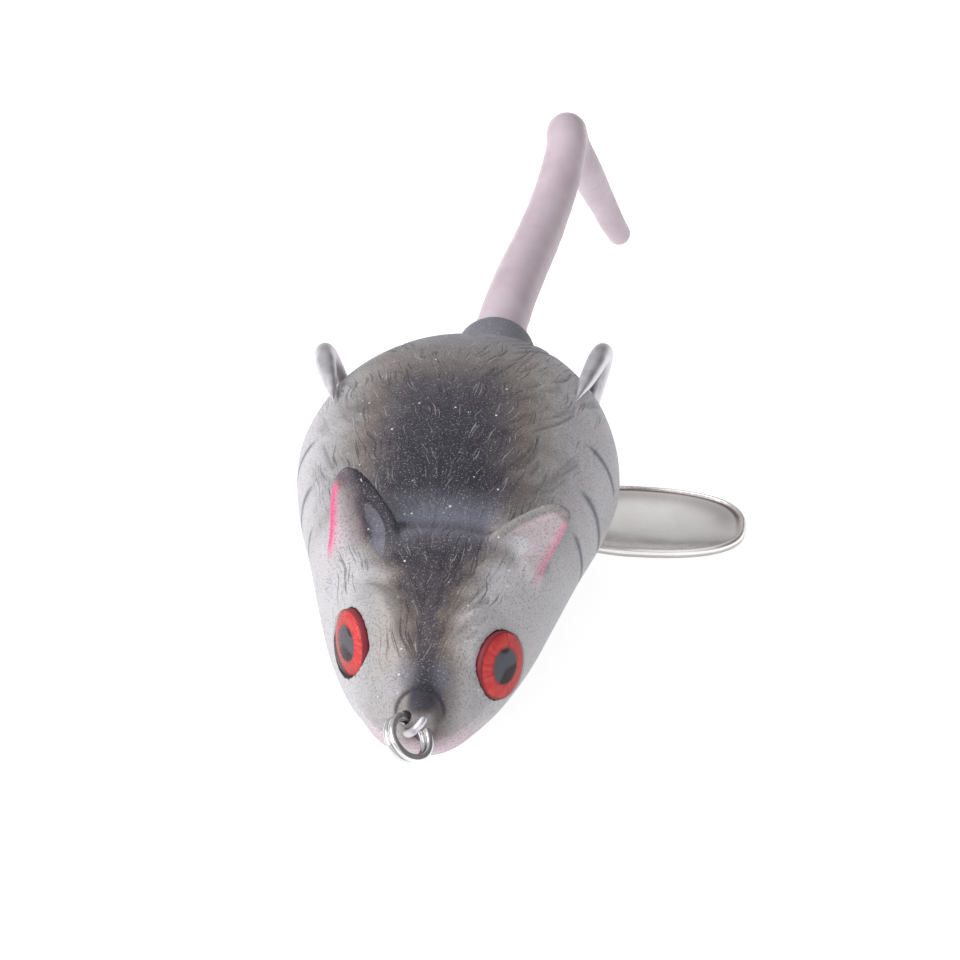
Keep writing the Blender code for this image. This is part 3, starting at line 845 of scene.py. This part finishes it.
def paint_masks(mesh, points, normals, depth, angle, reach):
    x, y, z = points.T
    _, half, middle = skin_rows(y)
    lane, dark_edge, pale_edge, darkest = columns(AIRBRUSH_AND_PAINTED_LIGHT, y)
    wander = 0.25 * np.sin(1.1 * y + 0.6) + 0.2 * np.sin(2.3 * y + 2.0 * np.sign(x))
    away = np.where(z > middle, np.abs(x - lane), half + middle - z) + wander * smooth_step(-27, -22, y)
    # On the head the side the key light comes from, x below the lane, turns pale sooner: painted light on the lit
    # side of the face.
    away = away * np.where(x < lane, 1 + 0.25 * smooth_step(-16.5, -18.5, y), 1.0)
    share = np.clip((away - dark_edge) / (pale_edge - dark_edge), 0, 1)
    on_head = smooth_step(-15.5, -18.0, y)
    masks = {"tone": darkest + (1 - darkest) * (0.55 * share + 0.45 * (0.5 - 0.5 * np.cos(math.pi * share)))}
    near = on_head * smooth_step(7.5, 4.5, np.abs(x - lane)) * (z > middle)
    masks["tone"] = np.minimum(masks["tone"], 1 - near * np.where(x < lane, 0.2, 0.12))
    turn = np.abs(angle)
    around = np.sqrt((x - BULB[0]) ** 2 + (y - BULB[1]) ** 2 + (z - BULB[2]) ** 2)
    bulb = smooth_step(BULB_R + 0.28, BULB_R + 0.12, around) * smooth_step(BULB[1] + 0.9, BULB[1] + 0.5, y)
    top_stripe = smooth_step(1.5, 0.7, np.abs(x - BULB[0] - 0.2)) * smooth_step(9.4, 10.2, z)
    # The bulb's +x side, away from the key light, is darker: painted shade; the top stripe is the dark stripe's
    # paint.
    bulb_tone = 0.62 - 0.5 * top_stripe - 0.3 * smooth_step(0.9, 1.6, x - BULB[0])
    retone(masks, bulb_tone, bulb)
    crease = bell(around, BULB_R + 0.3, 0.2) * smooth_step(BULB[2] - 0.6, BULB[2] + 0.6, z) * (1 - bulb)
    masks["tone"] = masks["tone"] * (1 - 0.9 * crease * smooth_step(BULB[1] + 1.6, BULB[1] + 1.0, y))
    # Blue-grey band over the trough and the ridge between the ears: painted sheen on the shiny trough and ridge.
    blue_tint_sheen_and_shade = np.maximum(bell(y, TROUGH + 0.1, 1.5), 0.8 * bell(y, RIDGE + 0.5, 0.8))
    blue_tint_sheen_and_shade = blue_tint_sheen_and_shade * smooth_step(6.0, 4.2, np.abs(x - 0.5)) * 0.75
    # Blue-grey patches on both sides of the stripe above the nose bulb: painted shade.
    blue_tint_sheen_and_shade = np.maximum(blue_tint_sheen_and_shade, 0.6 * bell(y, -27.2, 1.0) * bell(np.abs(x - 0.7), 1.7, 0.8) * (z > 9))
    # Bluish grey along the top of the rear back.
    masks["blue_tint_sheen_and_shade"] = np.maximum(blue_tint_sheen_and_shade, 0.6 * smooth_step(9.0, 18.0, y) * smooth_step(1.3, 0.3, turn))
    masks["stripe"] = flank_stripes(y, z, x) * 0.85
    masks["warm"] = smooth_step(-27.8, -26.0, y) * smooth_step(-15.0, -17.5, y) * smooth_step(5.0, 2.5, np.abs(x))
    deepen(masks, "warm", 0.6 * bell(np.abs(x), 6.5, 2.0) * smooth_step(-9.0, -6.0, y) * (y < 14))
    furry = smooth_step(-27.0, -25.0, y) * smooth_step(27.0, 22.0, y) * smooth_step(1.35, 0.9, turn)
    masks["furry"] = furry * (1 - 0.85 * bell(y, TROUGH + 0.1, 1.6) * smooth_step(5.5, 4.0, np.abs(x)))
    blush = 0.5 * smooth_step(-26.0, -29.0, y) * smooth_step(8.0, 6.0, z)
    mouth = 5.2 - 0.06 * (y + 27.0) ** 2
    masks["blush"] = np.maximum(blush, 0.5 * bell(z, mouth, 0.3) * smooth_step(-23.0, -25.0, y))
    masks["pink"] = np.zeros(len(x))
    masks["pit"] = np.zeros(len(x))
    for shape in EARS.values():
        paint_ear(points, normals, shape, masks)
    masks["groove"] = depth / 0.14
    masks["dusty"] = 0.3 + 0.7 * smooth_step(9.5, 6.0, np.abs(x)) * smooth_step(-29, -27, y)
    for name, values in masks.items():
        store(mesh, name, np.clip(values, 0, 1))
    across = turn * reach - 0.3 * y
    store(mesh, "fur", np.stack([across + 40 * (angle < 0), y, np.zeros(len(y))], axis=1))


def make_skin():
    """The moulded body: joined from simple forms, remeshed into one smooth surface, engraved and hollowed."""
    skin = loft("mouse_skin", SKIN, 10, 160)
    points = read_points(skin.data)
    x, y, z = points.T
    lift = 0.6 * bell(y, RIDGE, 0.75) * smooth_step(6.6, 4.6, np.abs(x - 0.8)) * (z > 9)
    lift -= 0.9 * bell(y, TROUGH, 1.5) * smooth_step(6.2, 4.0, np.abs(x - 0.5)) * (z > 9)
    lift -= 0.22 * bell(z, 5.3 - 0.06 * (y + 27.0) ** 2, 0.22) * smooth_step(-24.0, -25.5, y)
    write_points(skin.data, points + read_normals(skin.data) * lift[:, None])
    ring = [(0, 26.0)] + [(r, y) for y, r in COLLAR] + [(0, 30.25)]
    forms = [lathe("collar", ring, COLLAR_MIDDLE, (0, 1, 0), 64)]
    dome = [(BULB_R * math.sin(a), -BULB_R * math.cos(a)) for a in np.linspace(0.15, 2.95, 20)]
    forms.append(lathe("bulb", [(0, -BULB_R)] + dome + [(0, BULB_R)], BULB, (0, 1, 0), 48))
    seat_form = [(0, -4.0), (4.4, -4.0), (5.0, -1.9), (4.2, -0.9), (3.3, -0.22), (3.0, -0.2), (0, -0.2)]
    for side, name in EYES:
        forms.append(lathe(name + "_seat", seat_form, eye_place(name, side), eye_axis(side), 64))
    forms += [ear("ear_" + side, shape) for side, shape in EARS.items()]
    boolean(skin, forms, "UNION")
    remesh = skin.modifiers.new("remesh", "REMESH")
    remesh.mode = "VOXEL"
    remesh.voxel_size = VOXEL * MM
    apply_all(skin)
    mesh = skin.data
    points = read_points(mesh)
    seams = bell(points[:, 1], 26.6, 0.7)
    for side, name in EYES:
        away = points - np.array(eye_place(name, side))
        axis = np.array(Vector(eye_axis(side)).normalized())
        off = np.linalg.norm(away - np.outer(away @ axis, axis), axis=1)
        seams = np.maximum(seams, bell(off, 4.2, 0.8) * (np.abs(away @ axis) < 3))
    on_ear = np.zeros(len(points))
    for shape in EARS.values():
        rise, out, ahead, belongs = ear_place(points, shape)
        seams = np.maximum(seams, bell(rise, 0.0, 1.6) * (np.abs(out) < 4.5) * (np.abs(ahead) < 4))
        on_ear = np.maximum(on_ear, belongs * smooth_step(0.2, 1.6, rise))
    points = relax(mesh, points, 0.10 + 0.5 * seams, 12)
    write_points(mesh, points)
    normals = read_normals(mesh)
    x, y, z = points.T
    centre, _, middle = skin_rows(y)
    angle = np.arctan2(x - centre, z - middle)
    reach = np.sqrt((x - centre) ** 2 + (z - middle) ** 2)
    depth = engrave(points, angle, reach) * (1 - on_ear)
    points -= normals * depth[:, None]
    write_points(mesh, points)
    paint_masks(mesh, points, read_normals(mesh), depth, angle, reach)
    cutters = [loft("hollow", HOLLOW, 3, 40)]
    cuts = [("neck_hole", 1.25, -29.0, -25.0, (HOOK_EYE[0], 0, HOOK_EYE[2]), (0, 1, 0))]
    cuts.append(("tail_socket", 3.25, 27.4, 31.5, COLLAR_MIDDLE, (0, 1, 0)))
    cuts.append(("tail_channel", 2.3, 23.0, 28.0, COLLAR_MIDDLE, (0, 1, 0)))
    for side, name in EYES:
        cuts.append((name + "_socket", 3.03, -0.5, 6.0, eye_place(name, side), eye_axis(side)))
    cutters += [plug(*cut, 64) for cut in cuts]
    for side in (1, -1):
        rows = smooth_path(hook_side(side)[4:10], 3)
        cutters.append(tube(f"slot_{side}", [(x, y, z + 0.8, 2.0) for x, y, z, _ in rows], 24))
    boolean(skin, cutters, "DIFFERENCE")
    snug = [(NOSE_RING_R + 0.78 * (r - NOSE_RING_R), 1.2 * h) for r, h in torus_outline(NOSE_RING_R, 0.62, 20)]
    boolean(skin, [lathe_loop("ring_groove", snug, NOSE_RING, NOSE_RING_AXIS, 96)], "DIFFERENCE")
    skin.data.materials.clear()
    skin.data.materials.append(skin_look())
    shade_smooth(skin.data)
    seat(skin, "body", "skin", "body_skin")


# ---------------------------------------------------------------- other pieces


def eye_axis(side):
    return (side * EYE_FACING[0], EYE_FACING[1], EYE_FACING[2])


def eye_place(node, side):
    """The eye's own zero height, from its foil's box, which lies from 0.4 to 0.1 mm below it."""
    low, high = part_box(node)
    middle = (low + high) / 2 / MM
    return middle + Vector(eye_axis(side)).normalized() * 0.25


def seat(obj, body, slot, *nodes):
    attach(obj, body)
    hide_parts(*nodes)


def make_eyes():
    foil_paint = foil_look()
    clear = dome_look()
    for side, name in ((1, "left"), (-1, "right")):
        spot = eye_place(f"{name}_eye_foil", side)
        axis = eye_axis(side)
        rise = [(2.98 * (1 - k / 14), 0.3 + 0.42 * (1 - (1 - k / 14) ** 2) ** 0.8) for k in range(15)]
        flat = [(0, -0.4), (2.9, -0.4), (2.98, -0.32)]
        foil = lathe(f"{name}_eye_print", flat + rise, (0, 0, 0), (0, 0, 1), 96, foil_paint)
        foil.matrix_world = Matrix.Translation(Vector(spot) * MM) @ frame_along(axis).to_4x4()
        seat(foil, "body", "eye_foil", f"{name}_eye_foil")
        dome = [(r, z + 0.03) for r, z in rise[::-1]] + [(3.0, 0.35), (3.0, 0.4)]
        dome += [(3.0 * math.cos(a), 0.4 + 0.6 * math.sin(a)) for a in (math.pi / 2 * k / 16 for k in range(1, 16))]
        resin = lathe(f"{name}_eye_resin", dome + [(0, 1.0)], spot, axis, 96, clear)
        seat(resin, "body", "eye_dome", f"{name}_eye_dome")


def split_ring(name, centre, axis, radius, half_radial, half_axial, look):
    """Two turns of flattened wire with rounded edges and cut ends."""
    pitch = 2 * half_axial + 0.05
    steps = 200
    sides = 16
    share_left = 0.985
    section = []
    for k in range(sides):
        a = 2 * math.pi * (k + 0.5) / sides
        section.append((signed_power(math.cos(a), 0.75) * half_radial, signed_power(math.sin(a), 0.75) * half_axial))
    points = []
    for k in range(steps + 1):
        turn = 2 * k / steps * share_left
        angle = 2 * math.pi * turn
        for out, up in section:
            reach = radius + out
            points.append((reach * math.cos(angle), reach * math.sin(angle), pitch * (turn - 1) + up))
    end = 4 * math.pi * share_left
    points.append((radius, 0.0, -pitch))
    points.append((radius * math.cos(end), radius * math.sin(end), pitch * 0.97))
    return mesh_object(name, placed(points, centre, axis), rings_to_faces(steps + 1, sides), look)


TAIL = (
    (1.3, 29.7, 12.5, 2.55),
    (1.55, 33.5, 13.5, 2.55),
    (2.1, 37.8, 14.4, 2.5),
    (2.83, 43.3, 14.93, 2.45),
    (3.84, 48.7, 15.76, 2.35),
    (4.72, 53.5, 16.96, 2.25),
    (5.54, 57.0, 18.81, 2.2),
    (6.07, 60.3, 20.8, 2.15),
    (5.9, 63.9, 21.3, 2.1),
    (6.2, 67.0, 18.2, 1.95),
    (7.39, 69.8, 14.0, 1.8),
    (8.14, 73.4, 10.0, 1.65),
    (8.85, 75.8, 7.0, 1.5),
    (9.54, 78.0, 4.0, 1.4),
    (10.2, 79.4, 1.9, 1.3),
)


def make_tail():
    rows = [(1.25, 25.0, 12.5, 1.85), (1.25, 26.9, 12.5, 1.9), (1.28, 28.2, 12.5, 2.4)] + list(TAIL)
    path = smooth_path(rows, 9)
    draw = random.Random(3)
    swell = [draw.uniform(-0.02, 0.02) for _ in path]
    path = [(x, y, z, r * (1 + 0.5 * swell[k])) for k, (x, y, z, r) in enumerate(path)]
    end = Vector(path[-1][:3])
    forward = (end - Vector(path[-2][:3])).normalized()
    radius = path[-1][3]
    tip = []
    for k in range(1, 8):
        a = math.pi / 2 * k / 7.5
        tip.append((*(end + forward * radius * math.sin(a)), radius * math.cos(a)))
    tail = tube("soft_tail", path + tip, 40, tail_look())
    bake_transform(tail)
    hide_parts("tail", "tail_plug")


HOOK_WIRE = 0.95
HOOK_EYE_R = 1.15
HOOK_EYE_WIRE = 0.36
HOOK_TIP = (11.2, 5.6, 20.0)
HOOK_POINT = 8.2
HOOK_BEND_R = 5.75
HOOK_SPLAY = 0.207
HOOK_TILT = 0.30
HOOK_YAW = 0.03
HOOK_TAPER = ((6.6, 0.9), (3.9, 0.7), (2.6, 0.5), (1.3, 0.26), (0.0, 0.03))


def hook_side(side):
    """One side of the hook from the neck behind its eye to the point: x, y, z, wire radius."""
    tip = Vector(HOOK_TIP)
    low = tip.z - 2 * HOOK_BEND_R
    rows = [(y, low, HOOK_WIRE) for y in (-12.0, 0.0, 8.0)]
    for angle in range(-90, 91, 30):
        turn = math.radians(angle)
        y = tip.y + HOOK_POINT + HOOK_BEND_R * math.cos(turn)
        rows.append((y, tip.z - HOOK_BEND_R + HOOK_BEND_R * math.sin(turn), HOOK_WIRE))
    rows += [(tip.y + back, tip.z, radius) for back, radius in HOOK_TAPER]
    out = [(side * 0.75, -26.0, 8.5, 0.55), (side * 1.55, -20.0, 8.4, 0.75)]
    for y, z, radius in rows:
        x = side * (tip.x + HOOK_SPLAY * (y - tip.y) + HOOK_TILT * (z - tip.z))
        out.append((x - HOOK_YAW * (y - tip.y), y + HOOK_YAW * x, z, radius))
    return out


def make_hook(look):
    """One wire: point, bend and shank, round the diagonal eye at the nose, and back to the other point."""
    centre = Vector(HOOK_EYE)
    roll = math.radians(45.0)
    across = Vector((math.cos(roll), 0.0, math.sin(roll)))
    mouth = math.radians(34)
    loop = []
    for k in range(49):
        a = mouth + (2 * math.pi - 2 * mouth) * k / 48
        spot = centre + HOOK_EYE_R * (Vector((0, 1, 0)) * math.cos(a) + across * math.sin(a))
        loop.append((*spot, HOOK_EYE_WIRE))
    sides = []
    for sign, first in ((1, loop[0]), (-1, loop[-1])):
        twist = []
        for share, y in ((0.85, -28.2), (0.5, -27.2)):
            a = roll * share
            twist.append((sign * 0.68 * math.cos(a), y, HOOK_EYE[2] + sign * 0.68 * math.sin(a), 0.5))
        sides.append(smooth_path([first] + twist + hook_side(sign), 12)[1:])
    hook = tube("wire_hook", sides[0][::-1] + loop + sides[1], 24, look)
    barbs = []
    for sign in (1, -1):
        root = Vector(hook_side(sign)[-4][:3]) + Vector((0, 0.2, -0.35))
        spike = [(0, 0, 0, 0.5), (0, 0.7, -0.25, 0.4), (0, 1.4, -0.5, 0.24), (0, 2.0, -0.75, 0.05)]
        barbs.append(tube(f"barb_{sign}", [(*(root + Vector(p[:3])), p[3]) for p in spike], 12))
    boolean(hook, barbs, "UNION")
    shade_smooth(hook.data)
    seat(hook, "hook", "hook", "double_hook")


def wire_eye(name, centre, plane_axis, along, loop_r, wire, shank, look):
    made = lathe_loop(name, torus_outline(loop_r, wire, 20), centre, plane_axis, 72, look)
    outline = [(0.0, shank[0][1])] + list(shank) + [(0.0, shank[-1][1])]
    boolean(made, [lathe(name + "_shank", outline, centre, along, 32)], "UNION")
    shade_smooth(made.data)
    return made


BLADE_HOLE = (5.8, 15.9, 1.35)
BLADE_HOLE_R = 1.15
BLADE_MIDDLE = (15.2, 15.9)
BLADE_HALF = (11.4, 6.1)
BLADE_THICK = 0.5
CHAIN_RING_R = 1.5


def make_chain(steel, ring_steel, dark_plate):
    start = Vector((0.0, 5.7, 1.5))
    hole = Vector(BLADE_HOLE)
    flat = Vector((hole.x - start.x, hole.y - start.y, 0.0))
    along = flat.normalized()
    across = Vector((along.y, -along.x, 0.0))
    tilt = (across + Vector((0, 0, 1))).normalized()
    counter = (across - Vector((0, 0, 1))).normalized()
    front = start + along * 1.12
    ring_centre = start + along * (flat.length - CHAIN_RING_R) + Vector((0, 0, -0.02))
    rear = ring_centre - along * 1.58
    middle = (front + rear) / 2
    half = (rear - front).length / 2
    barrel_half = half - 1.75
    knob = half - barrel_half
    shank = [(0.27, 0.75), (0.27, knob + 0.75), (0.62, knob + 0.85), (0.62, knob + 1.25), (0.3, knob + 1.4)]
    eye = wire_eye("belly_wire_eye", start, (0, 0, 1), (0, -1, 0), 0.95, 0.33, [(0.33, 0.75), (0.33, 4.9)], steel)
    seat(eye, "body", "hook", "belly_eye")
    eye = wire_eye("swivel_front_wire", front, across, along, 1.0, 0.28, shank, steel)
    seat(eye, "swivel_front", "hook", "swivel_front_eye")
    eye = wire_eye("swivel_rear_wire", rear, tilt, -along, 1.0, 0.28, shank, steel)
    seat(eye, "swivel_rear", "hook", "swivel_rear_eye")
    outer = [(0.38, -barrel_half), (0.62, -barrel_half), (0.78, -barrel_half + 0.12)]
    outer += [(1.04, -barrel_half + 0.6), (1.1, -barrel_half + 0.8), (1.0, -0.15)]
    bore = [(0.38, barrel_half - 0.55), (0.78, barrel_half - 0.7)]
    outline = []
    for profile in (outer, bore):
        outline += profile + [(radius, -height) for radius, height in profile[::-1]]
    seat(lathe_loop("swivel_sleeve", outline, middle, along, 72, dark_plate), "barrel", "swivel", "swivel_barrel")
    ring = split_ring("blade_ring", ring_centre, counter, CHAIN_RING_R, 0.26, 0.16, ring_steel)
    seat(ring, "blade_ring", "ring", "blade_split_ring")


def make_blade():
    """An oval dish, hollow side up, with a rolled rim and a hole near its inner end."""
    rings = 40
    around = 180
    points = []
    shade = []
    for side in (0, 1):
        for ring in range(rings, 0, -1) if side else range(1, rings + 1):
            share = 1 - (1 - ring / rings) ** 1.5
            for a in turns(around):
                far = math.sin(a)
                inner = max(0.0, -math.cos(a))
                narrow = 1 - 0.42 * inner - 0.2 * inner**4
                x = BLADE_MIDDLE[0] + BLADE_HALF[0] * share * signed_power(math.cos(a), 0.74)
                y = BLADE_MIDDLE[1] + BLADE_HALF[1] * share * signed_power(far, 0.8) * narrow
                y -= 0.07 * max(0.0, x - 9.0)
                edge = BLADE_THICK - 0.25 * max(0.0, (share - 0.985) / 0.015) * (1 if side else -1)
                lip = 0.16 * bell(share, 0.975, 0.02) if side else 0.0
                points.append((x, y, 1.6 * share**2 + (edge + lip if side else BLADE_THICK - edge)))
                rim = bell(share, 1.0, 0.012) + 0.9 * bell(share, 0.935, 0.014) + 0.5 * bell(share, 0.86, 0.13)
                shade.append(rim * smooth_step(-0.3, 0.3, far) if side else 0.3)
    points += [(BLADE_MIDDLE[0], 15.47, height) for height in (0.0, BLADE_THICK)]
    blade = mesh_object("oval_blade", points, rings_to_faces(2 * rings, around), blade_look())
    store(blade.data, "shade", np.clip(np.array(shade + [0.0, 0.0]), 0, 1))
    boolean(blade, [plug("hole", BLADE_HOLE_R, -2.0, 2.0, BLADE_HOLE, (0, 0, 1), 48)], "DIFFERENCE")
    shade_smooth(blade.data)
    seat(blade, "blade", "blade", "spinner_blade")


def paint_kept_nodes():
    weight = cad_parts["belly_weight"]
    weight.data.materials.clear()
    weight.data.materials.append(lead_look())


# ---------------------------------------------------------------- stage


FLOOR_HALF = 3000


def make_stage():
    look = Look("pale_floor")
    look.set(base_color=look.mix(look.noise(3.0, 2.0), (0.45, 0.45, 0.45), (0.47, 0.47, 0.47)), roughness=1.0)
    look.set(emission_color=(1.0, 1.0, 1.0, 1.0), emission_strength=0.78, specular_ior_level=0.0)
    corners = [(x * FLOOR_HALF, y * FLOOR_HALF, 0) for x, y in ((-1, -1), (1, -1), (1, 1), (-1, 1))]
    floor = mesh_object("floor", corners, [(0, 1, 2, 3)], look.material)
    world = bpy.data.worlds.new("studio")
    bpy.context.scene.world = world
    world.use_nodes = True
    nodes = world.node_tree.nodes
    links = world.node_tree.links
    place = nodes.new("ShaderNodeTexCoord")
    dot = nodes.new("ShaderNodeVectorMath")
    dot.operation = "DOT_PRODUCT"
    dot.inputs[1].default_value = Vector((-0.55, -0.15, 0.8)).normalized()
    ramp = nodes.new("ShaderNodeValToRGB")
    stops = ((0.0, 0.20), (0.35, 0.54), (0.7, 0.64), (1.0, 0.9))
    fill_ramp(ramp.color_ramp, [(at, (value, value, value)) for at, value in stops])
    links.new(place.outputs["Generated"], dot.inputs[0])
    links.new(dot.outputs["Value"], ramp.inputs[0])
    links.new(ramp.outputs["Color"], nodes["Background"].inputs["Color"])
    nodes["Background"].inputs["Strength"].default_value = 1.0
    for name, toward, spread, power in (
        ("key", (-0.66, -0.35, 0.70), 60.0, 2.1),
        ("fill", (0.3, -0.85, 0.5), 60.0, 0.25),
    ):
        lamp = bpy.data.lights.new(name, "SUN")
        lamp.energy = power
        lamp.angle = math.radians(spread)
        obj = bpy.data.objects.new(name, lamp)
        obj.rotation_euler = Vector(toward).to_track_quat("Z", "Y").to_euler()
        bpy.context.scene.collection.objects.link(obj)
    bpy.context.scene.view_settings.view_transform = "Standard"


def make_camera():
    """300 mm from the middle of the body, 30 degrees above the floor, a little to the mouse's left."""
    azimuth, elevation, lean = (math.radians(angle) for angle in (5.77, 30.0, 2.03))
    distance = 0.300
    target = Vector((0.00252, 0.0, 0.01497))
    level = math.cos(elevation)
    back = Vector((math.sin(azimuth) * level, -math.cos(azimuth) * level, math.sin(elevation)))
    turn = back.to_track_quat("Z", "Y").to_matrix().to_4x4()
    stand = Matrix.Translation(target + back * distance) @ turn
    pivot = Matrix.Translation((0.0, 0.0, 0.008))
    data = bpy.data.cameras.new("camera")
    data.sensor_width = 36.0
    data.lens = 123.04
    camera = bpy.data.objects.new("camera", data)
    camera.matrix_world = pivot @ Matrix.Rotation(lean, 4, "Y") @ pivot.inverted() @ stand
    bpy.context.scene.collection.objects.link(camera)
    bpy.context.scene.camera = camera


def main():
    make_camera()
    make_stage()
    steel = metal_look("bright_wire", (0.74, 0.72, 0.77), 0.38)
    ring_steel = metal_look("bright_ring", (0.84, 0.83, 0.84), 0.10)
    dark_plate = metal_look("dark_plate", (0.20, 0.19, 0.18), 0.25)
    make_skin()
    make_eyes()
    make_tail()
    make_hook(steel)
    ring = split_ring("nose_ring", NOSE_RING, NOSE_RING_AXIS, NOSE_RING_R, 0.36, 0.29, ring_steel)
    seat(ring, "nose_ring", "ring", "nose_split_ring")
    make_chain(steel, ring_steel, dark_plate)
    make_blade()
    paint_kept_nodes()


main()
